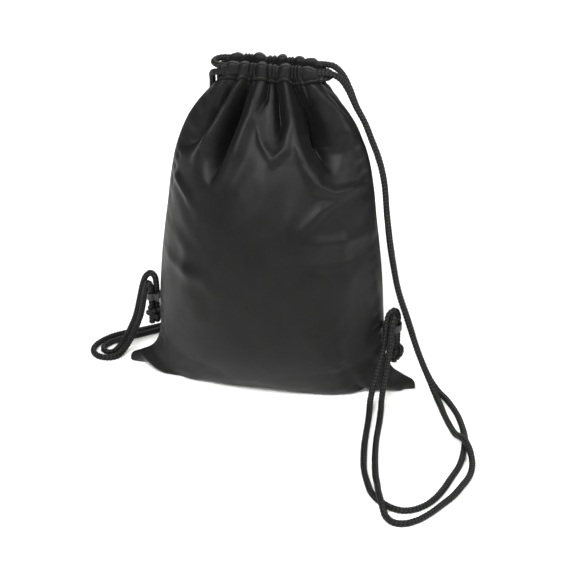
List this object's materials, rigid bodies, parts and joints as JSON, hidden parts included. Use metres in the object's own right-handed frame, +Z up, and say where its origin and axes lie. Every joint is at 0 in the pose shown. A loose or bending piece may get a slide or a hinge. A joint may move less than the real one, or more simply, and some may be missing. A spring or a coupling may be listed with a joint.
{
  "type": "drawstring backpack",
  "caption": "Soft two-panel cloth bag with a gathered drawstring mouth; two doubled cords run from the mouth through side tabs as carrying straps",
  "frame": {"origin": "on the floor, under the middle of the bag's bounding box, its free cords left out", "axes": "+Z up, the front panel faces -Y, +X to the viewer's right; the mouth leans 42 mm back and 6 mm to the left"},
  "size_m": [0.5126, 0.4758, 0.4041],
  "materials": {
    "cloth": "black plain-weave nylon with a soft sheen",
    "tape": "black woven tape",
    "thread": "black sewing thread",
    "cord": "black braided cord"
  },
  "bodies": {
    "bag": {"front_panel": "cloth", "back_panel": "cloth", "front_hem": "cloth", "back_hem": "cloth", "left_seam_binding": "tape", "right_seam_binding": "tape", "bottom_seam_binding": "tape", "left_tab": "tape", "right_tab": "tape", "front_hem_stitching": "thread", "back_hem_stitching": "thread", "left_mouth_bartack": "thread", "right_mouth_bartack": "thread", "left_tab_bartack": "thread", "right_tab_bartack": "thread", "right_cord_hem_run": "cord", "left_cord_hem_run": "cord", "right_cord_front_strand": "cord", "right_cord_back_strand": "cord", "left_cord_front_strand": "cord", "left_cord_back_strand": "cord"},
    "right_knot": {"right_knot": "cord"},
    "left_knot": {"left_knot": "cord"}
  },
  "joints": [
    {"name": "right_strap_pull", "type": "slide", "parent": "bag", "child": "right_knot", "axis": [0, 0, 1], "range_m": [0, 0.018]},
    {"name": "left_strap_pull", "type": "slide", "parent": "bag", "child": "left_knot", "axis": [0, 0, 1], "range_m": [0, 0.009]}
  ]
}
